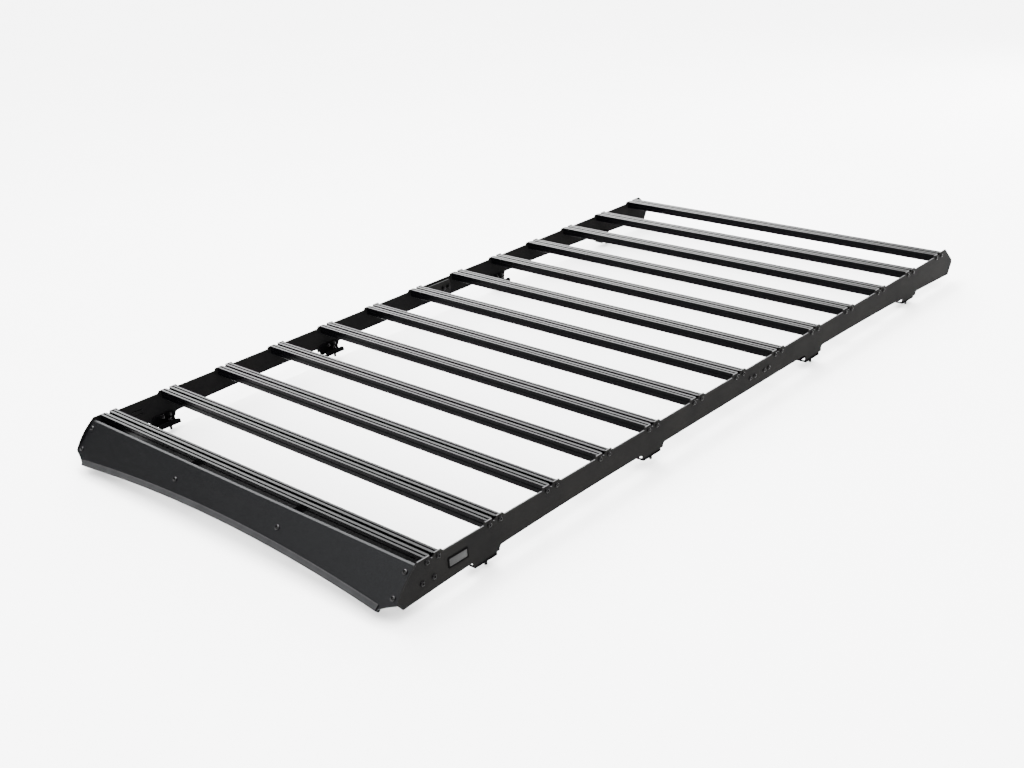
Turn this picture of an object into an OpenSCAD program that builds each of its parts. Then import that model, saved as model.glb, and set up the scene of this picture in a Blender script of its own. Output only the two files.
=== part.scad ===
// Flat platform roof rack: thirteen slotted cross slats between two bolted side plates,
// four slotted feet a side and an inclined wind fairing at the front end.
// +X is the right side, -Y the front with the fairing, +Z up; Z = 0 is the tip of the lowest foot bolt.

/* [Deck] */
// Overall width over the outer faces of the side plates
rack_w = 1342; // [1100:1:1500]
// Spacing of the slats, centre to centre
slat_pitch = 205; // [185:1:230]

/* [Slat section] */
// Width of a slat, front to rear
slat_w = 48; // [47:0.5:60]
// Height of a slat
slat_h = 26; // [25:0.5:34]
// Wall of the slat extrusion
slat_wall = 2; // [1.6:0.1:2.4]
// Width of the mouth of the top slot
slot_mouth = 9; // [8:0.5:11]
// Thickness of the lips over the top slot
slot_lip = 3; // [2.5:0.1:3.5]
// Width of the undercut inside the top slot
slot_room_w = 17; // [15:0.5:18]
// Height of the undercut inside the top slot
slot_room_h = 6.5; // [6:0.1:7.5]
// Width of the two grip grooves beside the slot
groove_w = 5; // [4:0.1:5.5]
// Depth of the grip grooves
groove_d = 3.6; // [3:0.1:4]
// Distance of a grip groove's middle from the middle of the slat
groove_y = 14.6; // [13.5:0.1:15.5]
// Height of the groove along each side face
side_groove_h = 3.6; // [2.5:0.1:4.5]
// Depth of the groove along each side face
side_groove_d = 1.6; // [1:0.1:1.8]
// Depth of the side groove's middle below the deck
side_groove_z = 11; // [10:0.1:12]
// Small bevel on the outer edges of the section
slat_bevel = 0.8; // [0.4:0.1:1.2]
// Distance of a screw port from the middle of the slat
port_y = 18; // [16.5:0.1:18]
// Depth of the screw ports below the deck
port_z = 12; // [11.5:0.1:14]
// Radius of the screw ports
port_r = 3.3; // [2.5:0.1:3.3]

/* [Side plates] */
// Thickness of the side plates
plate_t = 4; // [3:0.5:6]
// Depth of a side plate below the deck, in the straight middle stretch
plate_depth = 74; // [68:1:90]
// Drop of the top edge between two slats
edge_drop = 7; // [4:0.5:10]
// Flat lead of the raised top edge before and after each slat
bump_lead = 6; // [3:0.5:9]
// Length of the ramp from the low edge to the raised edge
bump_ramp = 5; // [3:0.5:12]
// Width of the notch that opens the slot to the side
notch_w = 15; // [12:0.5:17]
// Depth of that notch
notch_d = 9.5; // [8:0.5:10]
// Radius of the clearance holes for the slat bolts
bolt_hole_r = 4.2; // [4:0.1:4.6]
// Start of the front bow of the lower edge, from the middle slat
front_bow_start = 600; // [400:10:800]
// Radius of the front bow
front_bow_r = 12750; // [9000:50:20000]
// Start of the rear bow of the lower edge, from the middle slat
rear_bow_start = 350; // [200:10:700]
// Radius of the rear bow
rear_bow_r = 17300; // [12000:50:25000]
// Gap between the front and rear plate of one side
joint_gap = 0.4; // [0.2:0.1:1]

/* [Plate ends] */
// Reach of the plates past the first slat, at deck level
nose_reach = 17; // [14:0.5:30]
// Lean of the front edge from the vertical, in degrees
nose_lean = 42.6; // [38:0.1:46]
// Depth of the front edge's lowest point below the deck
nose_depth = 77; // [72:1:82]
// Height of the front edge's bow in front of the fairing sheet
nose_bow = 6.5; // [3:0.5:9]
// Run of the short bevel under the front edge
chin_run = 15; // [8:1:20]
// Reach of the plates past the last slat, at deck level
tail_reach = 27; // [20:0.5:35]
// Run of the upper bevel at the rear end
tail_run = 53; // [45:1:70]
// Depth of the upper bevel at the rear end
tail_drop = 52; // [46:1:58]
// Height of the flat tip of the rear end
tail_flat = 12; // [8:1:16]
// Run of the lower bevel at the rear end
tail_under = 24; // [20:1:40]

/* [Feet] */
// Place of the front foot bolts behind the second slat
foot_1_shift = -22; // [-30:1:20]
// Place of the second foot bolts behind the fifth slat
foot_2_shift = 11; // [-30:1:30]
// Place of the third foot bolts behind the ninth slat
foot_3_shift = 9; // [-30:1:30]
// Place of the rear foot bolts behind the twelfth slat
foot_4_shift = 12; // [-30:1:20]
// Reach of a plate tab ahead of its foot bolt
tab_front = 56; // [50:1:64]
// Reach of a plate tab behind its foot bolt
tab_rear = 32; // [30:1:44]
// Radius of the coves that run the lower edge into a tab
cove_r = 10; // [8:1:14]
// Least drop of a tab below its coves
tab_drop = 2.75; // [1:0.25:4]
// Greatest height of a tab's lower edge over the foot's underside
tab_clear = 12.5; // [10:0.5:13]
// Drop of the first foot's underside below the lower edge of the plate
foot_1_drop = 24; // [22:0.5:27]
// Drop of the second foot's underside below the lower edge of the plate
foot_2_drop = 23.5; // [22:0.5:27]
// Drop of the third foot's underside below the lower edge of the plate
foot_3_drop = 30; // [27:0.5:34]
// Drop of the fourth foot's underside below the lower edge of the plate
foot_4_drop = 22; // [20:0.5:25]
// Width of the foot channel, away from the plate
foot_w = 34; // [30:1:40]
// Thickness of the foot channel's sheet
foot_t = 4; // [3:0.5:5]
// Height of the inner lip of the foot channel
foot_lip_h = 15; // [10:1:20]
// Height of the foot channel's leg on the plate
foot_leg_h = 33; // [31:1:36]
// Reach of the foot channel ahead of its bolt
foot_front = 50; // [48:1:56]
// Reach of the foot channel behind its bolt
foot_rear = 26; // [20:1:30]
// Distance of a foot bolt from the plate's inner face
foot_bolt_in = 15; // [14:0.5:17]
// Radius of the foot bolts
foot_bolt_r = 4; // [3:0.5:5]
// Reach of the foot bolts below the foot
foot_bolt_reach = 18; // [12:1:25]
// Clearance between a foot bolt and the sides of its slot
foot_slot_play = 3.5; // [1:0.5:3.5]
// Length of the foot slot ahead of the bolt
foot_slot_front = 39; // [30:1:40]
// Radius of the washer on the foot slot
foot_washer_r = 10; // [9:0.5:10.5]
// Width across the flats of the foot bolt's nut
foot_nut_af = 13; // [12:1:14]
// Height of the foot bolt's nut
foot_nut_h = 7; // [5:0.5:8]
// Reach of the foot bolt above its nut
foot_bolt_over = 7; // [4:0.5:9]
// Spacing of the two studs that hold a foot on its tab
stud_gap = 24; // [20:1:30]
// Height of those studs over the foot's underside
stud_rise = 25; // [23:0.5:25.5]
// Place of the middle between those studs, behind the foot bolt
stud_shift = -4; // [-10:0.5:4]
// Radius of the holes for those studs
stud_hole_r = 3.2; // [3:0.1:3.6]

/* [Splice] */
// Half length of the splice plate
splice_half = 62; // [56:1:70]
// Distance of the splice plate's top edge below the plate's low edge
splice_top = 9; // [5:1:14]
// Height of the splice plate
splice_h = 48; // [40:1:54]
// Distance of the inner splice bolts from the joint
splice_bolt_in = 25; // [16:1:28]
// Distance of the outer splice bolts from the joint
splice_bolt_out = 49; // [40:1:50]

/* [Fairing] */
// Thickness of the fairing sheet
sheet_t = 3; // [2:0.5:4]
// Gap between the end of the fairing and the inner face of the plate
fairing_gap = 0.5; // [0.3:0.1:0.8]
// Depth of the fairing's top lip
lip_d = 10; // [7:0.5:12]
// Distance of the top lip below the deck
lip_drop = 8; // [6:0.5:12]
// Length of the fairing's straight side edges, along the slope from deck level
side_len = 107; // [103:1:109]
// Height of the bow in the fairing's bevelled lower corners
corner_bow = 2.3; // [0:0.1:4]
// Slope distance of the arched lower edge from deck level, in the middle
arch_top = 106.5; // [100:0.5:110]
// Radius of the arched lower edge
arch_r = 6450; // [6000:50:8000]
// Half width of the rubber edge trim
trim_half = 617; // [500:1:640]
// Height of the rubber edge trim
trim_h = 16.5; // [12:0.5:18]
// Thickness of the rubber on each face of the sheet and under its edge
trim_wall = 2.6; // [2:0.1:3.5]
// Radius of the hollow bulb along the back of the rubber trim
bulb_r = 4.5; // [4:0.1:5.5]
// Radius of the hole in that bulb
bulb_bore = 2.8; // [2:0.1:3]
// Distance of the fairing's end bolts from the plate's inner face
end_bolt_in = 17; // [14:0.5:20]
// Slope distance of the upper end bolts from deck level
end_bolt_high = 30; // [27:0.5:34]
// Slope distance of the lower end bolts from deck level
end_bolt_low = 94; // [88:0.5:95]
// Distance of the fairing's middle bolts from the middle plane
mid_bolt_x = 216; // [150:1:300]
// Slope distance of the middle bolts from deck level
mid_bolt_s = 60.5; // [56:0.5:66]
// Radius of the holes for the fairing bolts
fairing_hole_r = 4.2; // [4:0.1:4.6]

/* [Fairing brackets] */
// Thickness of the fairing brackets
bracket_t = 3; // [2:0.5:4]
// Width of the corner bracket's leg behind the fairing
corner_leg = 34; // [30:1:40]
// Depth of the plate bolts of the corner bracket below the deck
corner_bolt_z = 58; // [54:0.5:62]
// Distance of the front plate bolt ahead of the first slat's middle
corner_bolt_y = 38; // [34:0.5:42]
// Spacing of the two plate bolts of the corner bracket
corner_bolt_gap = 37; // [32:0.5:42]
// Width of a middle bracket
mid_bracket_w = 32; // [24:1:44]
// Reach of a middle bracket behind the first slat's middle
mid_bracket_back = 14; // [10:1:20]
// Reach of a middle bracket below its fairing bolt
mid_bracket_end = 14; // [10:1:20]
// Margin of the corner bracket round its plate bolts
corner_margin = 12.5; // [9:0.5:16]
// Slope distance of the corner bracket's upper end from deck level
corner_high = 18; // [15:1:22]
// Slope distance between the corner bracket's lower end and the end of the fairing's side
corner_short = 3; // [1:1:4]

/* [Badge] */
// Length of the blank badge plate
badge_l = 66; // [50:1:70]
// Height of the blank badge plate
badge_h = 28; // [20:1:30]
// Thickness of the blank badge plate
badge_t = 2; // [1:0.5:3]
// Distance of the badge's middle behind the first slat's middle
badge_y = 78; // [70:1:85]
// Depth of the badge's middle below the deck
badge_z = 47; // [42:1:50]
// Width of the badge's raised rim
badge_rim = 4; // [2:0.5:5]
// Length of the two blind slots on the plate's inner face, behind the badge's place
badge_slot_l = 40; // [30:1:46]
// Height of the blind slots
badge_slot_h = 5; // [4:0.5:6]
// Depth of the blind slots
badge_slot_d = 2.5; // [1:0.5:2.5]
// Distance of the blind slots' middle behind the first slat's middle
badge_slot_y = 90; // [84:1:94]
// Depth of the blind slots' middle below the deck
badge_slot_z = 39.5; // [37:0.5:42]
// Spacing of the two blind slots
badge_slot_gap = 14; // [10:0.5:16]

/* [Hidden] */

slat_count = 13;
joint_slat = 7;          // the plates meet behind this slat
eps = 1;                 // overrun of a cutting tool past the face it cuts
bow_step = 90;           // spacing of the points along a bowed edge
arc_steps = 6;           // segments of a small quarter round
end_steps = 14;          // segments of the half round end of a slot
arch_steps = 36;         // segments of the fairing's arched edge
corner_steps = 6;        // segments of the fairing's lower corners
nose_steps = 8;          // segments of the bowed front edge
bulb_steps = 10;         // segments of half of the trim's bulb
lip_short = 1;           // the lip ends this far inside the sheet's ends
bulb_sink = 1;           // overlap of the bulb and the channel of the trim
arch_fn = 720;           // segments of the trim's full circle
washer_t = 1.6;
badge_recess = 0.6;
badge_corner_r = 3;
splice_corner_r = 6;
foot_end_r = 8;
foot_leg_r = 8;
trim_round = 1.6;
black = "#1c1c1d";
rubber_grey = "#55585a";
steel = "#2a2a2c";

// The deck is centred between the fairing's foremost edge and the tip of the rear ends.
half_span = (slat_count - 1) / 2 * slat_pitch;
inner_x = rack_w / 2 - plate_t;
slope_out = sheet_t / cos(nose_lean);
arch_bottom = arch_top + arch_r - sqrt(arch_r * arch_r - trim_half * trim_half);
nose_top_rel = -(half_span + slat_w / 2 + nose_reach);
front_rel = nose_top_rel - slope_out - arch_bottom * sin(nose_lean) - trim_wall * cos(nose_lean);
tail_rel = half_span + slat_w / 2 + tail_reach + tail_run;
mid_y = -(front_rel + tail_rel) / 2;
nose_top_y = mid_y + nose_top_rel;
tail_top_y = mid_y + half_span + slat_w / 2 + tail_reach;
joint_y = slat_y(joint_slat) + slat_pitch / 2;
foot_slats = [2, 5, 9, 12];
foot_shifts = [foot_1_shift, foot_2_shift, foot_3_shift, foot_4_shift];
foot_drops = [foot_1_drop, foot_2_drop, foot_3_drop, foot_4_drop];

function slat_y(i) = mid_y + (i - (slat_count + 1) / 2) * slat_pitch;
function foot_y(k) = slat_y(foot_slats[k - 1]) + foot_shifts[k - 1];

// How far the lower edge has bowed down at y.
function bow(y) =
    let (front = mid_y - front_bow_start - y, rear = y - mid_y - rear_bow_start)
    front > 0 ? front_bow_r - sqrt(front_bow_r * front_bow_r - front * front)
    : rear > 0 ? rear_bow_r - sqrt(rear_bow_r * rear_bow_r - rear * rear)
    : 0;

deck_z = plate_depth + max([for (k = [1:4]) bow(foot_y(k)) + foot_drops[k - 1]]) + foot_bolt_reach;

function lower_z(y) = deck_z - plate_depth - bow(y);
function foot_z(k) = lower_z(foot_y(k)) - foot_drops[k - 1];

// The back of the fairing sheet at a depth below the deck.
function nose_y(depth) = nose_top_y - depth * tan(nose_lean);

// A point of the plate's bowed front edge, from its top (t = 0) to its tip (t = 1).
function nose_point(t) =
    let (s = t * nose_depth / cos(nose_lean), out = nose_bow * (1 - pow(2 * t - 1, 2)))
    [nose_top_y - slope_out - s * sin(nose_lean) - out * cos(nose_lean),
     deck_z - s * cos(nose_lean) + out * sin(nose_lean)];

// Points of the lower edge from y_from forward to y_to.
function lower_run(y_from, y_to) =
    let (n = max(1, ceil((y_from - y_to) / bow_step)))
    [for (j = [0:n]) let (y = y_from - (y_from - y_to) * j / n) [y, lower_z(y)]];

function arc_points(cy, cz, r, from, to, steps = arc_steps) =
    [for (j = [0:steps]) let (a = from + (to - from) * j / steps) [cy + r * cos(a), cz + r * sin(a)]];

// A tab's outline, from its rear cove to its front cove.
function tab_points(k) =
    let (
        rear = foot_y(k) + tab_rear,
        front = foot_y(k) - tab_front,
        rear_z = lower_z(rear + cove_r),
        front_z = lower_z(front - cove_r),
        depth = max(cove_r + tab_drop, foot_drops[k - 1] - tab_clear)
    )
    concat(
        arc_points(rear + cove_r, rear_z - cove_r, cove_r, 90, 180),
        [[rear, lower_z(rear) - depth], [front, lower_z(front) - depth]],
        arc_points(front - cove_r, front_z - cove_r, cove_r, 0, 90)
    );

// The raised top edge over slat i.
function bump_points(i) =
    let (front = slat_y(i) - slat_w / 2 - bump_lead, rear = slat_y(i) + slat_w / 2 + bump_lead)
    concat(
        i == 1 ? [] : [[front - bump_ramp, deck_z - edge_drop], [front, deck_z]],
        i == slat_count ? [] : [[rear, deck_z], [rear + bump_ramp, deck_z - edge_drop]]
    );

function bumps(from, to) = [for (i = [from:to]) each bump_points(i)];

function front_plate_outline() =
    let (
        end = joint_y - joint_gap / 2,
        chin_y = nose_point(1)[0] + chin_run
    )
    concat(
        bumps(1, joint_slat),
        [[end, deck_z - edge_drop]],
        lower_run(end, foot_y(2) + tab_rear + cove_r + eps),
        tab_points(2),
        lower_run(foot_y(2) - tab_front - cove_r - eps, foot_y(1) + tab_rear + cove_r + eps),
        tab_points(1),
        lower_run(foot_y(1) - tab_front - cove_r - eps, chin_y),
        [for (j = [nose_steps:-1:0]) nose_point(j / nose_steps)]
    );

function rear_plate_outline() =
    let (
        start = joint_y + joint_gap / 2,
        tip = tail_top_y + tail_run,
        heel = tip - tail_under
    )
    concat(
        [[start, deck_z - edge_drop]],
        bumps(joint_slat + 1, slat_count),
        [
            [tail_top_y, deck_z],
            [tip, deck_z - tail_drop],
            [tip, deck_z - tail_drop - tail_flat]
        ],
        lower_run(heel, foot_y(4) + tab_rear + cove_r + eps),
        tab_points(4),
        lower_run(foot_y(4) - tab_front - cove_r - eps, foot_y(3) + tab_rear + cove_r + eps),
        tab_points(3),
        lower_run(foot_y(3) - tab_front - cove_r - eps, start)
    );

// Stands a (y, z) drawing up and gives it thickness t from x inwards or outwards.
module upright(x, t) {
    translate([x, 0, 0]) rotate([90, 0, 90]) linear_extrude(height = t) children();
}

// A round cutter along X.
module cross_hole(x, y, z, r, length) {
    translate([x - length / 2, y, z]) rotate([0, 90, 0]) cylinder(r = r, h = length, $fn = 32);
}

// A rectangle with round corners, from its middle.
module round_rect(l, h, r) {
    polygon(concat(
        arc_points(l / 2 - r, h / 2 - r, r, 0, 90),
        arc_points(-l / 2 + r, h / 2 - r, r, 90, 180),
        arc_points(-l / 2 + r, -h / 2 + r, r, 180, 270),
        arc_points(l / 2 - r, -h / 2 + r, r, 270, 360)
    ));
}

// A slot with round ends, from its middle.
module stadium(l, h) {
    r = h / 2;
    polygon(concat(
        arc_points(l / 2 - r, 0, r, -90, 90, end_steps),
        arc_points(-l / 2 + r, 0, r, 90, 270, end_steps)
    ));
}

module mirror_side(side) {
    if (side > 0) children();
    else mirror([1, 0, 0]) children();
}

// The slat's outer outline, with z = 0 at the deck.
module slat_outline() {
    w = slat_w / 2;
    b = slat_bevel;
    g_top = -side_groove_z + side_groove_h / 2;
    g_low = -side_groove_z - side_groove_h / 2;
    g_in = w - side_groove_d;
    polygon([
        [-w + b, 0], [w - b, 0], [w, -b], [w, g_top], [g_in, g_top], [g_in, g_low], [w, g_low],
        [w, -slat_h + b], [w - b, -slat_h], [-w + b, -slat_h], [-w, -slat_h + b],
        [-w, g_low], [-g_in, g_low], [-g_in, g_top], [-w, g_top], [-w, -b]
    ]);
}

// One side chamber, stepped round the side groove, and the port's round wall left standing.
module side_chamber() {
    inner = slot_room_w / 2 + slat_wall;
    outer = slat_w / 2 - slat_wall;
    narrow = outer - side_groove_d;
    top = -groove_d - slat_wall;
    step = -side_groove_z - side_groove_h / 2 - slat_wall;
    difference() {
        polygon([[inner, top], [narrow, top], [narrow, step], [outer, step],
                 [outer, -slat_h + slat_wall], [inner, -slat_h + slat_wall]]);
        translate([port_y, -port_z]) circle(r = port_r + slat_wall, $fn = 32);
    }
}

module slat_section() {
    room_low = slot_lip + slot_room_h;
    difference() {
        slat_outline();
        translate([-slot_mouth / 2, -slot_lip - eps]) square([slot_mouth, slot_lip + 2 * eps]);
        translate([-slot_room_w / 2, -room_low]) square([slot_room_w, slot_room_h]);
        translate([-slot_room_w / 2, -slat_h + slat_wall])
            square([slot_room_w, slat_h - room_low - 2 * slat_wall]);
        for (side = [-1, 1]) {
            translate([side * groove_y - groove_w / 2, -groove_d]) square([groove_w, groove_d + eps]);
            mirror([side < 0 ? 1 : 0, 0]) side_chamber();
            translate([side * port_y, -port_z]) circle(r = port_r, $fn = 32);
        }
    }
}

module slat(i) {
    color(black)
    difference() {
        translate([0, slat_y(i), deck_z]) upright(-inner_x, 2 * inner_x) slat_section();
        if (i == 1)
            for (side = [-1, 1])
                translate([side * mid_bolt_x, slat_y(1), deck_z - slat_h - eps])
                    cylinder(r = fairing_hole_r, h = slat_wall + 2 * eps, $fn = 32);
    }
}

// The notch and the two end-bolt holes of slat i, cut through the right plate.
module slat_end_cuts(i) {
    length = plate_t + 2 * eps;
    r = notch_w / 2;
    upright(inner_x - eps, length) polygon(concat(
        arc_points(slat_y(i), deck_z - notch_d + r, r, 180, 360, end_steps),
        [[slat_y(i) + r, deck_z + eps], [slat_y(i) - r, deck_z + eps]]
    ));
    for (side = [-1, 1])
        cross_hole(inner_x + plate_t / 2, slat_y(i) + side * port_y, deck_z - port_z, bolt_hole_r, length);
}

module splice_holes(from, to, x, length) {
    for (d = [from:to])
        cross_hole(x, joint_y + splice_offsets()[d], splice_z(), bolt_hole_r, length);
}

function splice_offsets() = [-splice_bolt_out, -splice_bolt_in, splice_bolt_in, splice_bolt_out];
function splice_z() = deck_z - edge_drop - splice_top - splice_h / 2;

module corner_bolt_holes(x, length) {
    for (d = [0, corner_bolt_gap])
        cross_hole(x, slat_y(1) - corner_bolt_y + d, deck_z - corner_bolt_z, fairing_hole_r, length);
}

module side_plate_front(side) {
    color(black) mirror_side(side)
    difference() {
        upright(inner_x, plate_t) polygon(front_plate_outline());
        for (i = [1:joint_slat]) slat_end_cuts(i);
        splice_holes(0, 1, inner_x, 4 * plate_t);
        corner_bolt_holes(inner_x, 4 * plate_t);
        for (row = [-1, 1])
            translate([0, slat_y(1) + badge_slot_y, deck_z - badge_slot_z + row * badge_slot_gap / 2])
                upright(inner_x - eps, badge_slot_d + eps) stadium(badge_slot_l, badge_slot_h);
    }
}

module side_plate_rear(side) {
    color(black) mirror_side(side)
    difference() {
        upright(inner_x, plate_t) polygon(rear_plate_outline());
        for (i = [joint_slat + 1:slat_count]) slat_end_cuts(i);
        splice_holes(2, 3, inner_x, 4 * plate_t);
    }
}

module splice_plate(side) {
    color(black) mirror_side(side)
    difference() {
        translate([0, joint_y, splice_z()])
            upright(inner_x - plate_t, plate_t) round_rect(2 * splice_half, splice_h, splice_corner_r);
        splice_holes(0, 3, inner_x, 4 * plate_t);
    }
}

// A foot is a channel: a leg on the tab's inner face, a slotted floor and a low inner lip.
module foot_bracket(side, k) {
    y = foot_y(k);
    length = foot_front + foot_rear;
    slot_r = foot_bolt_r + foot_slot_play;
    color(steel) mirror_side(side) translate([inner_x, y, foot_z(k)])
    difference() {
        union() {
            upright(-foot_t, foot_t) polygon(concat(
                [[-foot_front, 0], [foot_rear, 0]],
                arc_points(foot_rear - foot_leg_r, foot_leg_h - foot_leg_r, foot_leg_r, 0, 90),
                arc_points(-foot_front + foot_leg_r, foot_leg_h - foot_leg_r, foot_leg_r, 90, 180)
            ));
            translate([-foot_w, -foot_front, 0]) cube([foot_w, length, foot_t]);
            upright(-foot_w, foot_t) polygon(concat(
                [[-foot_front, 0], [foot_rear, 0]],
                arc_points(foot_rear - foot_end_r, foot_lip_h - foot_end_r, foot_end_r, 0, 90),
                arc_points(-foot_front + foot_end_r, foot_lip_h - foot_end_r, foot_end_r, 90, 180)
            ));
        }
        translate([-foot_bolt_in, -foot_slot_front / 2, -eps]) linear_extrude(height = foot_t + 2 * eps)
            rotate(90) stadium(foot_slot_front + 2 * slot_r, 2 * slot_r);
        for (d = [-1, 1])
            cross_hole(-foot_t / 2, stud_shift + d * stud_gap / 2, stud_rise, stud_hole_r, foot_t + 2 * eps);
    }
}

// The bolt that clamps a foot down: washer and nut on the foot's floor, shank through the slot.
module foot_bolt(side, k) {
    over = foot_t + washer_t + foot_nut_h + foot_bolt_over;
    color(steel) mirror_side(side)
    translate([inner_x - foot_bolt_in, foot_y(k), foot_z(k)]) {
        translate([0, 0, foot_t]) cylinder(r = foot_washer_r, h = washer_t, $fn = 48);
        translate([0, 0, foot_t + washer_t])
            cylinder(r = foot_nut_af / 2 / cos(30), h = foot_nut_h, $fn = 6);
        translate([0, 0, -foot_bolt_reach])
            cylinder(r = foot_bolt_r, h = over + foot_bolt_reach, $fn = 32);
    }
}

// The plane of the fairing: X across, Y up the slope from deck level, Z out of its front face.
module on_fairing() {
    translate([0, nose_top_y - slope_out, deck_z]) rotate([90 - nose_lean, 0, 0]) children();
}

function arch_s(x, inset) = arch_top + arch_r - sqrt(pow(arch_r + inset, 2) - x * x);
function fairing_half() = inner_x - fairing_gap;
function lip_s() = lip_drop / cos(nose_lean);

// A point of the right lower corner, from the side's end (t = 0) to the trim's end (t = 1).
function corner_point(t) =
    let (half = fairing_half(), end_s = arch_s(trim_half, trim_wall))
    [half - (half - trim_half) * t,
     -side_len - (end_s - side_len) * t + corner_bow * (1 - pow(2 * t - 1, 2))];

// The fairing's sheet: straight sides, bevelled lower corners and an arched lower edge.
module fairing_outline() {
    half = fairing_half();
    polygon(concat(
        [[-half, -lip_s()], [half, -lip_s()]],
        [for (j = [0:corner_steps - 1]) corner_point(j / corner_steps)],
        [for (j = [0:arch_steps])
            let (x = trim_half * (1 - 2 * j / arch_steps)) [x, -arch_s(x, trim_wall)]],
        [for (j = [corner_steps - 1:-1:0]) let (p = corner_point(j / corner_steps)) [-p[0], p[1]]]
    ));
}

module fairing_bolt_holes() {
    x_end = inner_x - end_bolt_in;
    for (side = [-1, 1]) {
        for (s = [end_bolt_high, end_bolt_low])
            translate([side * x_end, -s, -4 * sheet_t])
                cylinder(r = fairing_hole_r, h = 5 * sheet_t, $fn = 32);
        translate([side * mid_bolt_x, -mid_bolt_s, -4 * sheet_t])
            cylinder(r = fairing_hole_r, h = 5 * sheet_t, $fn = 32);
    }
}

module wind_fairing() {
    lip_half = fairing_half() - lip_short;
    top_y = nose_y(lip_drop) - slope_out;
    color(black)
    difference() {
        union() {
            on_fairing() translate([0, 0, -sheet_t]) linear_extrude(height = sheet_t) fairing_outline();
            translate([-lip_half, top_y, deck_z - lip_drop - sheet_t]) cube([2 * lip_half, lip_d, sheet_t]);
        }
        on_fairing() fairing_bolt_holes();
    }
}

// A rubber channel pushed over the arched edge, with a hollow bulb along its back, turned about
// the arch's own centre.
module fairing_edge_trim() {
    span = 2 * asin(trim_half / arch_r);
    deep = sheet_t + 2 * trim_wall;
    r = trim_round;
    bulb_z = -deep - bulb_r + bulb_sink;
    half_chord = sqrt(bulb_r * bulb_r - pow(bulb_r - bulb_sink, 2));
    turn = asin(half_chord / bulb_r);
    color(rubber_grey)
    on_fairing()
    translate([0, -arch_top - arch_r, trim_wall]) rotate([0, 0, 90 - span / 2])
    rotate_extrude(angle = span, $fn = arch_fn)
    difference() {
        polygon(concat(
            [
                [arch_r + r, 0], [arch_r + trim_h - r, 0], [arch_r + trim_h, -r],
                [arch_r + trim_h, -trim_wall], [arch_r + trim_wall, -trim_wall],
                [arch_r + trim_wall, -trim_wall - sheet_t], [arch_r + trim_h, -trim_wall - sheet_t],
                [arch_r + trim_h, -deep + r], [arch_r + trim_h - r, -deep]
            ],
            arc_points(arch_r + bulb_r, bulb_z, bulb_r, 90 - turn, -270 + turn, 2 * bulb_steps),
            [[arch_r, -deep + r], [arch_r, -r]]
        ));
        polygon(arc_points(arch_r + bulb_r, bulb_z, bulb_bore, 0, 360 - 360 / bulb_steps, bulb_steps - 1));
    }
}

// Folded bracket behind each end of the fairing, bolted to the side plate under the first slat.
module fairing_corner_bracket(side) {
    back_y = slat_y(1) - corner_bolt_y + corner_bolt_gap + corner_margin;
    high = corner_high;
    low = side_len - corner_short;
    color(black) mirror_side(side)
    difference() {
        union() {
            upright(inner_x - bracket_t, bracket_t) polygon([
                [nose_y(high * cos(nose_lean)), deck_z - high * cos(nose_lean)],
                [back_y, deck_z - corner_bolt_z + corner_margin],
                [back_y, deck_z - corner_bolt_z - corner_margin],
                [nose_y(low * cos(nose_lean)), deck_z - low * cos(nose_lean)]
            ]);
            on_fairing() translate([inner_x - corner_leg, -low, -sheet_t - bracket_t])
                cube([corner_leg, low - high, bracket_t]);
        }
        corner_bolt_holes(inner_x, 4 * plate_t);
        on_fairing() fairing_bolt_holes();
    }
}

// Bent strap from under the first slat to the middle of the fairing's back.
module fairing_middle_bracket(side) {
    z = deck_z - slat_h;
    top_s = (slat_h - sheet_t * sin(nose_lean)) / cos(nose_lean);
    end_s = mid_bolt_s + mid_bracket_end;
    color(black) mirror_side(side)
    difference() {
        union() {
            translate([mid_bolt_x - mid_bracket_w / 2, nose_y(slat_h), z - bracket_t])
                cube([mid_bracket_w, slat_y(1) + mid_bracket_back - nose_y(slat_h), bracket_t]);
            on_fairing() translate([mid_bolt_x - mid_bracket_w / 2, -end_s, -sheet_t - bracket_t])
                cube([mid_bracket_w, end_s - top_s, bracket_t]);
        }
        on_fairing() fairing_bolt_holes();
        translate([mid_bolt_x, slat_y(1), z - bracket_t - eps])
            cylinder(r = fairing_hole_r, h = bracket_t + 2 * eps, $fn = 32);
    }
}

// Blank rounded plate with a raised rim, on the right plate's outer face.
module badge_plate() {
    color(black)
    translate([0, slat_y(1) + badge_y, deck_z - badge_z])
    difference() {
        upright(rack_w / 2, badge_t) round_rect(badge_l, badge_h, badge_corner_r);
        upright(rack_w / 2 + badge_t - badge_recess, badge_recess + eps)
            round_rect(badge_l - 2 * badge_rim, badge_h - 2 * badge_rim, badge_corner_r - 1);
    }
}

slat(1);  // slat_01
slat(2);  // slat_02
slat(3);  // slat_03
slat(4);  // slat_04
slat(5);  // slat_05
slat(6);  // slat_06
slat(7);  // slat_07
slat(8);  // slat_08
slat(9);  // slat_09
slat(10);  // slat_10
slat(11);  // slat_11
slat(12);  // slat_12
slat(13);  // slat_13
side_plate_front(1);  // side_plate_right_front
side_plate_rear(1);  // side_plate_right_rear
side_plate_front(-1);  // side_plate_left_front
side_plate_rear(-1);  // side_plate_left_rear
splice_plate(1);  // splice_plate_right
splice_plate(-1);  // splice_plate_left
foot_bracket(1, 1);  // foot_bracket_right_1
foot_bracket(1, 2);  // foot_bracket_right_2
foot_bracket(1, 3);  // foot_bracket_right_3
foot_bracket(1, 4);  // foot_bracket_right_4
foot_bracket(-1, 1);  // foot_bracket_left_1
foot_bracket(-1, 2);  // foot_bracket_left_2
foot_bracket(-1, 3);  // foot_bracket_left_3
foot_bracket(-1, 4);  // foot_bracket_left_4
foot_bolt(1, 1);  // foot_bolt_right_1
foot_bolt(1, 2);  // foot_bolt_right_2
foot_bolt(1, 3);  // foot_bolt_right_3
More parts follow.
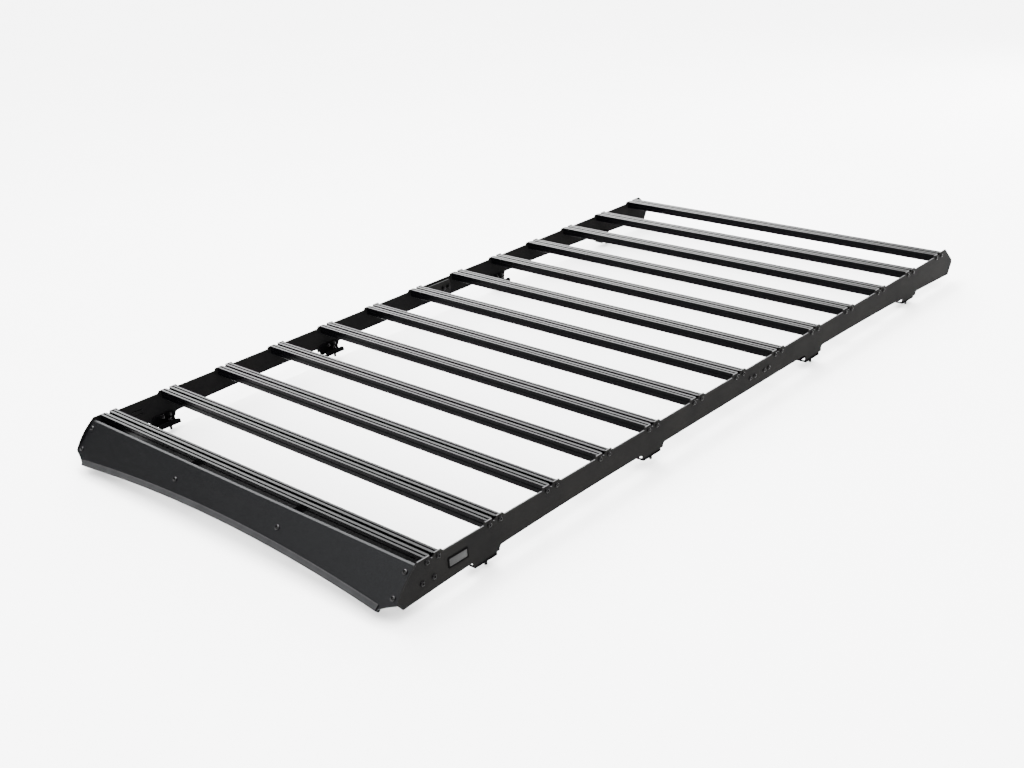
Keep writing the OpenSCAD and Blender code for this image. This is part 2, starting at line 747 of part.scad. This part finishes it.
foot_bolt(1, 4);  // foot_bolt_right_4
foot_bolt(-1, 1);  // foot_bolt_left_1
foot_bolt(-1, 2);  // foot_bolt_left_2
foot_bolt(-1, 3);  // foot_bolt_left_3
foot_bolt(-1, 4);  // foot_bolt_left_4
wind_fairing();
fairing_edge_trim();
fairing_corner_bracket(1);  // fairing_corner_bracket_right
fairing_corner_bracket(-1);  // fairing_corner_bracket_left
fairing_middle_bracket(1);  // fairing_middle_bracket_right
fairing_middle_bracket(-1);  // fairing_middle_bracket_left
badge_plate();
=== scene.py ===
"""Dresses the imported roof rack: finishes, screws, nuts, threads, floor, studio light and camera."""
import math

import bmesh
import bpy
from mathutils import Matrix, Vector


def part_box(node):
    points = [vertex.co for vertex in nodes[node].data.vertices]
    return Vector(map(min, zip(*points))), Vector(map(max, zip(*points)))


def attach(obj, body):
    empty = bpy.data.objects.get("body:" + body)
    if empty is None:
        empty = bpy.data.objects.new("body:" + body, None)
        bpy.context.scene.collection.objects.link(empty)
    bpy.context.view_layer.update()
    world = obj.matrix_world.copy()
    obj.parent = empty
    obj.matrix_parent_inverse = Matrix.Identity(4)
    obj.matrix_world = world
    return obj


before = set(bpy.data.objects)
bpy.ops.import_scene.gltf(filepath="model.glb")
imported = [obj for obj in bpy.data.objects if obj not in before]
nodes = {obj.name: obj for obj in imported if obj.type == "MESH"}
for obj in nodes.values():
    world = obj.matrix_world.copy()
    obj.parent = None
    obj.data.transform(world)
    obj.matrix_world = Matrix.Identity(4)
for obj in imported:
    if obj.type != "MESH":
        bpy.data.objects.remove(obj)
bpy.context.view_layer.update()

# Names and sizes read from the frame, in metres
SLATS = sorted(name for name in nodes if name.startswith("slat_"))


def middle(name):
    low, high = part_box(name)
    return [(a + b) / 2 for a, b in zip(low, high)]


DECK_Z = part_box("slat_07")[1][2]
INNER_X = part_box("slat_07")[1][0]
OUTER_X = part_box("side_plate_right_front")[1][0]
SLAT_Y = [middle(name)[1] for name in SLATS]
SLAT_H = DECK_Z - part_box("slat_07")[0][2]
JOINT_Y = middle("splice_plate_right")[1]
SPLICE_Z = middle("splice_plate_right")[2]
SPLICE_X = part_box("splice_plate_right")[0][0]

# Places that part.scad names, in metres
PORT_Y = 0.018
PORT_DROP = 0.012
SPLICE_BOLTS = (-0.049, -0.025, 0.025, 0.049)
CORNER_BOLTS = (-0.038, -0.001)
CORNER_DROP = 0.058
BRACKET_T = 0.003
SHEET_T = 0.003
NOSE_LEAN = math.radians(42.6)
NOSE_REACH = 0.017
LIP_DROP = 0.008
SLAT_HALF = 0.024
END_BOLT_IN = 0.017
END_BOLT_S = (0.030, 0.094)
MID_BOLT_X = 0.216
MID_BOLT_S = 0.0605
FOOT_T = 0.004
STUD_SHIFT = -0.004
STUD_GAP = 0.024
STUD_RISE = 0.025
FOOT_BOLT_R = 0.004
FOOT_NUT_TOP = 0.0126
BADGE_RECESS = 0.0006
BADGE_RIM = 0.004
NOSE_Y = SLAT_Y[0] - SLAT_HALF - NOSE_REACH - SHEET_T / math.cos(NOSE_LEAN)

# Fasteners, in metres: radius, height and socket of a head; bore, radius and thickness of a washer;
# width across flats, height and bore of a nut
M8_HEAD = (0.007, 0.0044, 0.005)
M8_WASHER = (0.0042, 0.008, 0.0016)
M8_NUT = (0.013, 0.008, 0.0040)
M8_R = 0.0040
M6_WASHER = (0.0032, 0.0065, 0.0012)
M6_NUT = (0.010, 0.006, 0.0030)
M6_R = 0.0030
PORT_SCREW_R = 0.0033
THREAD_PITCH = 0.00125
THREAD_DEPTH = 0.0006
THREAD_PROUD = 0.00035
THREAD_LAP = 0.0002
THREAD_SHORT = 0.0006

# The badge's inlay, in metres
INLAY_GAP = 0.0004
INLAY_CORNER = 0.0018

# The fairing's lip: how dull its top is, and the length and strength of its soft front bend
LIP_ROUGHNESS = 0.72
LIP_BEND = 0.0034
LIP_TILT = (0, -2.0, 0)


# Materials
def new_material(name):
    mat = bpy.data.materials.new(name)
    mat.use_nodes = True
    tree = mat.node_tree
    shader = next(n for n in tree.nodes if n.type == "BSDF_PRINCIPLED")
    return mat, tree, shader


def add(tree, kind, inputs=None, **settings):
    node = tree.nodes.new(kind)
    for key, value in settings.items():
        setattr(node, key, value)
    for key, value in (inputs or {}).items():
        node.inputs[key].default_value = value
    return node


def object_noise(tree, scale, detail=2.0, stretch=(1, 1, 1)):
    """Noise in the rack's own metres, stretched along the axes."""
    coords = add(tree, "ShaderNodeTexCoord")
    mapping = add(tree, "ShaderNodeMapping", {"Scale": stretch})
    noise = add(tree, "ShaderNodeTexNoise", {"Scale": scale, "Detail": detail, "Roughness": 0.55})
    tree.links.new(coords.outputs["Object"], mapping.inputs["Vector"])
    tree.links.new(mapping.outputs["Vector"], noise.inputs["Vector"])
    return noise.outputs["Fac"]


def remap(tree, value, low, high, start=0.3, end=0.7):
    node = add(tree, "ShaderNodeMapRange",
               {"From Min": start, "From Max": end, "To Min": low, "To Max": high})
    tree.links.new(value, node.inputs["Value"])
    return node.outputs["Result"]


def combine(tree, operation, first, second):
    node = add(tree, "ShaderNodeMath", operation=operation)
    tree.links.new(first, node.inputs[0])
    tree.links.new(second, node.inputs[1])
    return node.outputs["Value"]


def mix_colour(tree, factor, first, second):
    node = add(tree, "ShaderNodeMix", data_type="RGBA")
    tree.links.new(factor, node.inputs["Factor"])
    for socket, value in (("A", first), ("B", second)):
        target = next(s for s in node.inputs if s.name == socket and s.type == "RGBA")
        if isinstance(value, tuple):
            target.default_value = (*value, 1.0)
        else:
            tree.links.new(value, target)
    return next(s for s in node.outputs if s.type == "RGBA")


def edge_mask(tree, radius):
    """One along the edges of a solid and zero on its faces."""
    bevel = add(tree, "ShaderNodeBevel", {"Radius": radius}, samples=6)
    geometry = add(tree, "ShaderNodeNewGeometry")
    dot = add(tree, "ShaderNodeVectorMath", operation="DOT_PRODUCT")
    tree.links.new(bevel.outputs["Normal"], dot.inputs[0])
    tree.links.new(geometry.outputs["True Normal"], dot.inputs[1])
    return remap(tree, dot.outputs["Value"], 1.0, 0.0, start=0.80, end=0.985), bevel.outputs["Normal"]


def upward(tree, start, end):
    """Zero on upright faces and one on faces that look up."""
    geometry = add(tree, "ShaderNodeNewGeometry")
    parts = add(tree, "ShaderNodeSeparateXYZ")
    tree.links.new(geometry.outputs["True Normal"], parts.inputs["Vector"])
    return remap(tree, parts.outputs["Z"], 0.0, 1.0, start, end)


def above(tree, low, high):
    """Zero below the height low and one over the height high."""
    coords = add(tree, "ShaderNodeTexCoord")
    parts = add(tree, "ShaderNodeSeparateXYZ")
    tree.links.new(coords.outputs["Object"], parts.inputs["Vector"])
    return remap(tree, parts.outputs["Z"], 0.0, 1.0, low, high)


def coated(name, dark, light, edge, rough, specular, grain, grain_depth, stretch=(1, 1, 1), bevel=0.0006,
           top=None, tint=(1, 1, 1), dull_edge=None):
    """Coated metal with slow tone changes and a fine textured skin.

    edge is the colour of a painted highlight along the edges, laid on in patches, or None where none is
    painted. top is the colour of a painted highlight on the narrow faces near deck level that look up.
    dull_edge is the roughness along the edges, which needs an edge colour.
    """
    mat, tree, shader = new_material(name)
    slow = remap(tree, object_noise(tree, 9.0, 4.0), 0.0, 1.0)
    base = mix_colour(tree, slow, dark, light)
    patchy = remap(tree, object_noise(tree, 60.0, 3.0), 0.25, 0.9)
    if edge is None:
        colour = mix_colour(tree, patchy, base, light)
    else:
        # Painted edge highlight: the edges are lightened toward the edge colour in patches.
        edge_highlight_mask, soft_normal = edge_mask(tree, bevel)
        colour = mix_colour(tree, combine(tree, "MULTIPLY", edge_highlight_mask, patchy), base, edge)
    if top is not None:
        # Painted highlight: faces near deck level that look up take the lighter top colour.
        near_deck = above(tree, DECK_Z - 0.030, DECK_Z - 0.026)
        level = combine(tree, "MULTIPLY", upward(tree, 0.96, 0.99), near_deck)
        colour = mix_colour(tree, level, colour, top)
    tree.links.new(colour, shader.inputs["Base Color"])
    skin = object_noise(tree, grain, 3.0, stretch)
    roughness = remap(tree, skin, rough - 0.06, rough + 0.07)
    if dull_edge is not None:
        blend = add(tree, "ShaderNodeMix")
        tree.links.new(edge_highlight_mask, blend.inputs["Factor"])
        tree.links.new(roughness, blend.inputs["A"])
        blend.inputs["B"].default_value = dull_edge
        roughness = blend.outputs["Result"]
    tree.links.new(roughness, shader.inputs["Roughness"])
    bump = add(tree, "ShaderNodeBump", {"Strength": 0.35, "Distance": grain_depth})
    tree.links.new(skin, bump.inputs["Height"])
    if edge is not None and dull_edge is None:
        tree.links.new(soft_normal, bump.inputs["Normal"])
    tree.links.new(bump.outputs["Normal"], shader.inputs["Normal"])
    shader.inputs["Specular IOR Level"].default_value = specular
    shader.inputs["Specular Tint"].default_value = (*tint, 1.0)
    return mat


def rubber(name):
    """Matt rubber with a fine moulded grain, dusty lighter patches, and painted shade on its end faces, the
    faces that look along X.
    """
    mat, tree, shader = new_material(name)
    dusty = remap(tree, object_noise(tree, 22.0, 5.0), 0.0, 1.0, start=0.35, end=0.75)
    colour = mix_colour(tree, dusty, (0.0134, 0.0136, 0.0140), (0.0200, 0.0203, 0.0208))
    # Painted shade: faces that look along X, the trim's ends, are made near black.
    geometry = add(tree, "ShaderNodeNewGeometry")
    parts = add(tree, "ShaderNodeSeparateXYZ")
    tree.links.new(geometry.outputs["True Normal"], parts.inputs["Vector"])
    across = add(tree, "ShaderNodeMath", operation="ABSOLUTE")
    tree.links.new(parts.outputs["X"], across.inputs[0])
    painted_end_shade = remap(tree, across.outputs["Value"], 0.0, 1.0, start=0.6, end=0.9)
    colour = mix_colour(tree, painted_end_shade, colour, (0.0015, 0.0015, 0.0016))
    tree.links.new(colour, shader.inputs["Base Color"])
    grain = object_noise(tree, 1400.0, 2.0)
    tree.links.new(remap(tree, grain, 0.50, 0.68), shader.inputs["Roughness"])
    bump = add(tree, "ShaderNodeBump", {"Strength": 0.3, "Distance": 0.0002})
    tree.links.new(grain, bump.inputs["Height"])
    tree.links.new(bump.outputs["Normal"], shader.inputs["Normal"])
    shader.inputs["Specular IOR Level"].default_value = 0.02
    return mat


def bend_lip(mat, front):
    """The lip's top is duller than the face, and its front edge is a round bend, not a sharp one."""
    tree = mat.node_tree
    shader = next(n for n in tree.nodes if n.type == "BSDF_PRINCIPLED")
    coords = add(tree, "ShaderNodeTexCoord")
    parts = add(tree, "ShaderNodeSeparateXYZ")
    tree.links.new(coords.outputs["Object"], parts.inputs["Vector"])
    on_top = upward(tree, 0.72, 0.92)
    dull = add(tree, "ShaderNodeMix")
    tree.links.new(on_top, dull.inputs["Factor"])
    tree.links.new(shader.inputs["Roughness"].links[0].from_socket, dull.inputs["A"])
    dull.inputs["B"].default_value = LIP_ROUGHNESS
    tree.links.new(dull.outputs["Result"], shader.inputs["Roughness"])
    near = remap(tree, parts.outputs["Y"], 1.0, 0.0, front, front + LIP_BEND)
    tilt = add(tree, "ShaderNodeVectorMath", operation="SCALE")
    tilt.inputs[0].default_value = LIP_TILT
    tree.links.new(combine(tree, "MULTIPLY", on_top, near), tilt.inputs["Scale"])
    total = add(tree, "ShaderNodeVectorMath", operation="ADD")
    tree.links.new(shader.inputs["Normal"].links[0].from_socket, total.inputs[0])
    tree.links.new(tilt.outputs["Vector"], total.inputs[1])
    unit = add(tree, "ShaderNodeVectorMath", operation="NORMALIZE")
    tree.links.new(total.outputs["Vector"], unit.inputs[0])
    tree.links.new(unit.outputs["Vector"], shader.inputs["Normal"])


def floor_material():
    mat, tree, shader = new_material("studio_floor")
    shade = remap(tree, object_noise(tree, 0.8, 2.0), 0.0, 1.0)
    colour = mix_colour(tree, shade, (0.90, 0.90, 0.90), (0.92, 0.92, 0.92))
    tree.links.new(colour, shader.inputs["Base Color"])
    shader.inputs["Roughness"].default_value = 0.9
    shader.inputs["Specular IOR Level"].default_value = 0.1
    return mat


# In these coated materials the fourth colour is a painted edge highlight, and top is a painted highlight on
# faces near deck level that look up.
PLATE = coated("plate_powder_coat", (0.0051, 0.0051, 0.0051), (0.0073, 0.0071, 0.0068), (0.045, 0.045, 0.045),
               0.46, 0.005, 1700.0, 0.0002, top=(0.050, 0.050, 0.051))
# A darker copy of the plate coat for the left side plates: painted shade.
SHADED_LEFT_PLATE = coated("left_plate_coat_painted_shade", (0.0028, 0.0028, 0.0030), (0.0038, 0.0037, 0.0036),
                    (0.035, 0.035, 0.035), 0.46, 0.004, 1700.0, 0.0002, top=(0.042, 0.042, 0.043))
SHEET = coated("fairing_powder_coat", (0.0006, 0.0006, 0.0007), (0.0011, 0.0011, 0.0013), None,
               0.28, 0.19, 1700.0, 0.0002, tint=(0.93, 0.96, 1.0))
SLAT = coated("slat_powder_coat", (0.0007, 0.0007, 0.0009), (0.0012, 0.0012, 0.0014), (0.003, 0.003, 0.0034),
              0.25, 0.018, 900.0, 0.00012, stretch=(0.06, 1, 1), bevel=0.0016,
              tint=(0.95, 0.975, 1.0), dull_edge=0.9)
FOOT = coated("foot_black_coat", (0.0009, 0.0009, 0.0010), (0.0016, 0.0016, 0.0018), (0.012, 0.012, 0.012),
              0.72, 0.003, 1300.0, 0.0002)
SCREW = coated("black_screw_steel", (0.0007, 0.0007, 0.0008), (0.0012, 0.0012, 0.0014), (0.010, 0.010, 0.010),
               0.15, 0.16, 2200.0, 0.00008, bevel=0.0002)
# A darker, duller copy of the screw steel with a weaker painted edge highlight, for the screws in the side
# plates: painted shade on screws like the others.
SHADED_PLATE_SCREW = coated("dull_screw_steel_painted_shade", (0.0006, 0.0006, 0.0007), (0.0010, 0.0010, 0.0012),
                     (0.005, 0.005, 0.005), 0.24, 0.055, 2200.0, 0.00008, bevel=0.0002)
BADGE = coated("badge_plastic", (0.0005, 0.0005, 0.0005), (0.0009, 0.0009, 0.0009), (0.01, 0.01, 0.01),
               0.40, 0.005, 1500.0, 0.0001)
INLAY = coated("badge_inlay_satin", (0.010, 0.010, 0.010), (0.014, 0.014, 0.014), (0.05, 0.05, 0.05),
               0.40, 0.10, 2600.0, 0.00005, stretch=(1, 0.05, 1))
RUBBER = rubber("trim_rubber")
bend_lip(SHEET, NOSE_Y - LIP_DROP * math.tan(NOSE_LEAN))

for name, obj in nodes.items():
    if name.startswith("slat_"):
        mat = SLAT
    elif name.startswith("foot_bolt"):
        mat = SCREW
    elif name.startswith("foot_bracket"):
        mat = FOOT
    elif name == "wind_fairing":
        mat = SHEET
    elif name == "fairing_edge_trim":
        mat = RUBBER
    elif name == "badge_plate":
        mat = BADGE
    elif name.startswith("side_plate_left"):
        mat = SHADED_LEFT_PLATE
    else:
        mat = PLATE
    obj.data.materials.clear()
    obj.data.materials.append(mat)


# Screws and nuts
def along(place, direction):
    """A frame at place whose own Z runs along direction."""
    z = Vector(direction).normalized()
    x = Vector((0, 0, 1)).cross(z)
    if x.length < 0.1:
        x = Vector((0, 1, 0)).cross(z)
    x.normalize()
    y = z.cross(x)
    matrix = Matrix((x, y, z)).transposed().to_4x4()
    matrix.translation = Vector(place)
    return matrix


def hex_radius(angle, flats):
    """Distance from the middle to a hexagon's side, in the direction of angle."""
    return flats / 2 / math.cos((angle % (math.pi / 3)) - math.pi / 6)


def ring(bm, matrix, count, radius, height):
    """A ring of points; radius is a number or a function of the angle."""
    points = []
    for j in range(count):
        a = 2 * math.pi * j / count
        r = radius(a) if callable(radius) else radius
        points.append(bm.verts.new(matrix @ Vector((r * math.cos(a), r * math.sin(a), height))))
    return points


def skin(bm, rings, close_first=True, close_last=True):
    for low, high in zip(rings, rings[1:]):
        count = len(low)
        for j in range(count):
            bm.faces.new((low[j], low[(j + 1) % count], high[(j + 1) % count], high[j]))
    if close_first:
        bm.faces.new(list(reversed(rings[0])))
    if close_last:
        bm.faces.new(rings[-1])


def button_head(bm, place, direction, head_r, head_h, socket, count=36):
    """A domed head with a hexagon socket, standing on place."""
    matrix = along(place, direction)
    rings = [ring(bm, matrix, count, head_r * 0.96, 0.0),
             ring(bm, matrix, count, head_r, head_h * 0.08),
             ring(bm, matrix, count, head_r, head_h * 0.16)]
    rim = socket * 0.66
    for step in range(1, 8):
        t = step / 7 * math.pi / 2
        rings.append(ring(bm, matrix, count, rim + (head_r - rim) * math.cos(t),
                          head_h * (0.16 + 0.84 * math.sin(t))))
    rings.append(ring(bm, matrix, count, lambda a: hex_radius(a, socket * 1.04), head_h * 0.97))
    rings.append(ring(bm, matrix, count, lambda a: hex_radius(a, socket), head_h * 0.92))
    rings.append(ring(bm, matrix, count, lambda a: hex_radius(a, socket), head_h * 0.40))
    rings.append(ring(bm, matrix, count, socket * 0.15, head_h * 0.26))
    skin(bm, rings)


def shank(bm, place, direction, radius, length, count=20):
    """A plain shank that ends in a small bevel."""
    matrix = along(place, direction)
    bevel = radius * 0.15
    skin(bm, [ring(bm, matrix, count, radius, 0.0),
              ring(bm, matrix, count, radius, length - bevel),
              ring(bm, matrix, count, radius - bevel, length)])


def washer(bm, place, direction, inner, outer, thick, count=36):
    matrix = along(place, direction)
    edge = thick * 0.2
    rings = [ring(bm, matrix, count, inner, 0.0), ring(bm, matrix, count, outer - edge, 0.0),
             ring(bm, matrix, count, outer, edge), ring(bm, matrix, count, outer, thick - edge),
             ring(bm, matrix, count, outer - edge, thick), ring(bm, matrix, count, inner, thick)]
    skin(bm, rings + rings[:1], False, False)


def lock_nut(bm, place, direction, flats, height, bore, count=36):
    """A hexagon nut with bevelled corners and a round locking collar."""
    matrix = along(place, direction)
    corner = flats / 2 * 1.1
    body = height * 0.72

    def cut(a):
        return min(hex_radius(a, flats), corner)

    def hexagon(a):
        return hex_radius(a, flats)

    rings = [ring(bm, matrix, count, bore, 0.0), ring(bm, matrix, count, cut, 0.0),
             ring(bm, matrix, count, hexagon, height * 0.08),
             ring(bm, matrix, count, hexagon, body - height * 0.08),
             ring(bm, matrix, count, cut, body), ring(bm, matrix, count, flats * 0.45, body),
             ring(bm, matrix, count, flats * 0.44, height * 0.93),
             ring(bm, matrix, count, flats * 0.39, height),
             ring(bm, matrix, count, bore, height)]
    skin(bm, rings + rings[:1], False, False)


def thread(bm, place, direction, radius, length, pitch, depth, count=20):
    """A helical thread: one closed ribbed rod whose radius follows the pitch."""
    matrix = along(place, direction)
    steps = 4
    turns = int(length / pitch)
    rows = turns * steps
    rings = []
    for row in range(rows + 1):
        points = []
        for j in range(count):
            a = 2 * math.pi * j / count
            phase = (row / steps + j / count) % 1.0
            tip = min(1.0, (rows - row) / steps)
            r = radius - depth * abs(2 * phase - 1) - (1 - tip) * depth
            height = row * length / rows
            points.append(bm.verts.new(matrix @ Vector((r * math.cos(a), r * math.sin(a), height))))
        rings.append(points)
    skin(bm, rings)


def piece(name, bm, mat):
    bmesh.ops.recalc_face_normals(bm, faces=bm.faces)
    mesh = bpy.data.meshes.new(name)
    bm.to_mesh(mesh)
    bm.free()
    for poly in mesh.polygons:
        poly.use_smooth = True
    mesh.set_sharp_from_angle(angle=math.radians(32))
    obj = bpy.data.objects.new(name, mesh)
    bpy.context.scene.collection.objects.link(obj)
    mesh.materials.append(mat)
    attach(obj, "root")
    return obj


def slope_point(x, s, lift):
    """A point on the fairing: x across, s down the slope from deck level, lift off its outer face."""
    return (x, NOSE_Y - s * math.sin(NOSE_LEAN) - lift * math.cos(NOSE_LEAN),
            DECK_Z - s * math.cos(NOSE_LEAN) + lift * math.sin(NOSE_LEAN))


SLOPE_OUT = (0, -math.cos(NOSE_LEAN), math.sin(NOSE_LEAN))
SLOPE_IN = (0, math.cos(NOSE_LEAN), -math.sin(NOSE_LEAN))

for side, sign in (("right", 1), ("left", -1)):
    out = (sign, 0, 0)
    into = (-sign, 0, 0)
    wall = sign * OUTER_X

    bm = bmesh.new()
    for y in SLAT_Y:
        for offset in (-PORT_Y, PORT_Y):
            place = (wall, y + offset, DECK_Z - PORT_DROP)
            button_head(bm, place, out, *M8_HEAD)
            shank(bm, place, into, PORT_SCREW_R, 0.018)
    piece(f"slat_end_screws_{side}", bm, SHADED_PLATE_SCREW)

    bm = bmesh.new()
    for offset in SPLICE_BOLTS:
        place = (wall, JOINT_Y + offset, SPLICE_Z)
        button_head(bm, place, out, *M8_HEAD)
        back = (sign * SPLICE_X, place[1], place[2])
        washer(bm, back, into, *M8_WASHER)
        lock_nut(bm, (back[0] - sign * M8_WASHER[2], place[1], place[2]), into, *M8_NUT)
        shank(bm, place, into, M8_R, 0.019)
    piece(f"splice_screws_{side}", bm, SHADED_PLATE_SCREW)

    bm = bmesh.new()
    for offset in CORNER_BOLTS:
        place = (wall, SLAT_Y[0] + offset, DECK_Z - CORNER_DROP)
        button_head(bm, place, out, *M8_HEAD)
        back = (sign * (INNER_X - BRACKET_T), place[1], place[2])
        washer(bm, back, into, *M8_WASHER)
        lock_nut(bm, (back[0] - sign * M8_WASHER[2], place[1], place[2]), into, *M8_NUT)
        shank(bm, place, into, M8_R, 0.018)
    piece(f"fairing_corner_screws_{side}", bm, SHADED_PLATE_SCREW)

    bm = bmesh.new()
    spots = [(sign * (INNER_X - END_BOLT_IN), s) for s in END_BOLT_S] + [(sign * MID_BOLT_X, MID_BOLT_S)]
    for x, s in spots:
        button_head(bm, slope_point(x, s, 0.0), SLOPE_OUT, *M8_HEAD)
        behind = -SHEET_T - BRACKET_T
        washer(bm, slope_point(x, s, behind), SLOPE_IN, *M8_WASHER)
        lock_nut(bm, slope_point(x, s, behind - M8_WASHER[2]), SLOPE_IN, *M8_NUT)
        shank(bm, slope_point(x, s, 0.0), SLOPE_IN, M8_R, 0.0175)
    under = (sign * MID_BOLT_X, SLAT_Y[0], DECK_Z - SLAT_H - BRACKET_T)
    button_head(bm, under, (0, 0, -1), *M8_HEAD)
    shank(bm, under, (0, 0, 1), M8_R, 0.010)
    piece(f"fairing_screws_{side}", bm, SCREW)

    bm = bmesh.new()
    for k in range(1, 5):
        x, y, _ = middle(f"foot_bolt_{side}_{k}")
        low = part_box(f"foot_bracket_{side}_{k}")[0][2]
        for way in (-0.5, 0.5):
            place = (sign * INNER_X, y + STUD_SHIFT + way * STUD_GAP, low + STUD_RISE)
            shank(bm, place, into, M6_R, 0.0145)
            back = (sign * (INNER_X - FOOT_T), place[1], place[2])
            washer(bm, back, into, *M6_WASHER)
            lock_nut(bm, (back[0] - sign * M6_WASHER[2], place[1], place[2]), into, *M6_NUT)
    piece(f"foot_stud_nuts_{side}", bm, SCREW)

    bm = bmesh.new()
    for k in range(1, 5):
        low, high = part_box(f"foot_bolt_{side}_{k}")
        x, y, _ = middle(f"foot_bolt_{side}_{k}")
        channel_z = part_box(f"foot_bracket_{side}_{k}")[0][2]
        nut_top = channel_z + FOOT_NUT_TOP
        thread(bm, (x, y, channel_z - THREAD_LAP), (0, 0, -1), FOOT_BOLT_R + THREAD_PROUD,
               channel_z - low[2] - THREAD_SHORT, THREAD_PITCH, THREAD_DEPTH)
        thread(bm, (x, y, nut_top - THREAD_LAP), (0, 0, 1), FOOT_BOLT_R + THREAD_PROUD,
               high[2] - nut_top, THREAD_PITCH, THREAD_DEPTH)
    piece(f"foot_bolt_threads_{side}", bm, SCREW)

bm = bmesh.new()
low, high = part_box("badge_plate")
inlay_x = high[0] - BADGE_RECESS
half_l = (high[1] - low[1]) / 2 - BADGE_RIM - INLAY_GAP
half_h = (high[2] - low[2]) / 2 - BADGE_RIM - INLAY_GAP
centre = Vector((inlay_x, (low[1] + high[1]) / 2, (low[2] + high[2]) / 2))
rings = []
for lift, inset in ((0.0, 0.0), (0.00025, 0.0), (0.0004, 0.0003)):
    points = []
    for quarter, (sy, sz) in enumerate(((1, 1), (-1, 1), (-1, -1), (1, -1))):
        for j in range(7):
            a = (quarter + j / 6) * math.pi / 2
            r = INLAY_CORNER - inset
            y = sy * (half_l - INLAY_CORNER) + r * math.cos(a)
            z = sz * (half_h - INLAY_CORNER) + r * math.sin(a)
            points.append(bm.verts.new(centre + Vector((lift, y, z))))
    rings.append(points)
skin(bm, rings)
piece("badge_inlay", bm, INLAY)

# Floor and light
CEILING_GLOW = 9.5
WALL_GLOW = 1.6
BACK_GLOW = 26.0

bm = bmesh.new()
bmesh.ops.create_grid(bm, x_segments=8, y_segments=8, size=60.0)
floor_mesh = bpy.data.meshes.new("studio_floor")
bm.to_mesh(floor_mesh)
bm.free()
floor = bpy.data.objects.new("studio_floor", floor_mesh)
floor_mesh.materials.append(floor_material())
bpy.context.scene.collection.objects.link(floor)

# The studio: a bright ceiling, a dim wall all round, a bright wall behind the rack on the left, and
# a dark one in front of it on the left, all by direction alone
world = bpy.data.worlds.new("studio")
world.use_nodes = True
sky = world.node_tree
background = next(n for n in sky.nodes if n.type == "BACKGROUND")
direction = add(sky, "ShaderNodeTexCoord").outputs["Generated"]


def toward(tree, vector, way, start, end, low, high):
    """A soft lobe of light round a direction."""
    dot = add(tree, "ShaderNodeVectorMath", operation="DOT_PRODUCT")
    tree.links.new(vector, dot.inputs[0])
    dot.inputs[1].default_value = Vector(way).normalized()
    node = add(tree, "ShaderNodeMapRange",
               {"From Min": start, "From Max": end, "To Min": low, "To Max": high},
               interpolation_type="SMOOTHSTEP")
    tree.links.new(dot.outputs["Value"], node.inputs["Value"])
    return node.outputs["Result"]


ceiling = toward(sky, direction, (0, 0, 1), 0.50, 0.85, WALL_GLOW, CEILING_GLOW)
back_wall = toward(sky, direction, (-0.70, 0.60, 0.40), 0.88, 0.975, 0.0, BACK_GLOW)
dark_wall = toward(sky, direction, (-0.956, -0.252, 0.151), 0.87, 0.95, 1.0, 0.05)
glow = combine(sky, "ADD", combine(sky, "MULTIPLY", ceiling, dark_wall), back_wall)
sky.links.new(glow, background.inputs["Strength"])
background.inputs["Color"].default_value = (1.0, 1.0, 1.0, 1.0)
bpy.context.scene.world = world


def softbox(name, place, target, size, power):
    light = bpy.data.lights.new(name, "AREA")
    light.shape = "RECTANGLE"
    light.size, light.size_y = size
    light.energy = power
    obj = bpy.data.objects.new(name, light)
    obj.matrix_world = along(place, Vector(place) - Vector(target))
    bpy.context.scene.collection.objects.link(obj)


softbox("top_light", (0.0, 0.0, 5.0), (0, 0, 0), (7.0, 7.0), 420.0)
softbox("glint_light", (-1.6, 0.6, 4.2), (0, -0.4, 0), (0.7, 0.7), 160.0)
softbox("rear_glint_light", (0.4, 5.2, 1.9), (0, 0, 0), (0.9, 0.9), 220.0)

# Camera, at the photograph's viewing angle
AZIMUTH = math.radians(44.12)
ELEVATION = math.radians(23.63)
ROLL = math.radians(-4.25)
EYE = Vector((2.6177, SLAT_Y[6] - 2.9397, DECK_Z + 1.5304))
FOCAL_PIXELS = 1329.8
FRAME_PIXELS = 1024

back = Vector((math.sin(AZIMUTH) * math.cos(ELEVATION), -math.cos(AZIMUTH) * math.cos(ELEVATION),
               math.sin(ELEVATION)))
right = (-back).cross(Vector((0, 0, 1))).normalized()
down = (-back).cross(right)
rolled_right = right * math.cos(ROLL) - down * math.sin(ROLL)
rolled_down = right * math.sin(ROLL) + down * math.cos(ROLL)
camera_data = bpy.data.cameras.new("camera")
camera_data.sensor_width = 36.0
camera_data.lens = FOCAL_PIXELS / FRAME_PIXELS * 36.0
camera_data.clip_end = 200.0
camera = bpy.data.objects.new("camera", camera_data)
pose = Matrix((rolled_right, -rolled_down, back)).transposed().to_4x4()
pose.translation = EYE
camera.matrix_world = pose
bpy.context.scene.collection.objects.link(camera)
bpy.context.scene.camera = camera
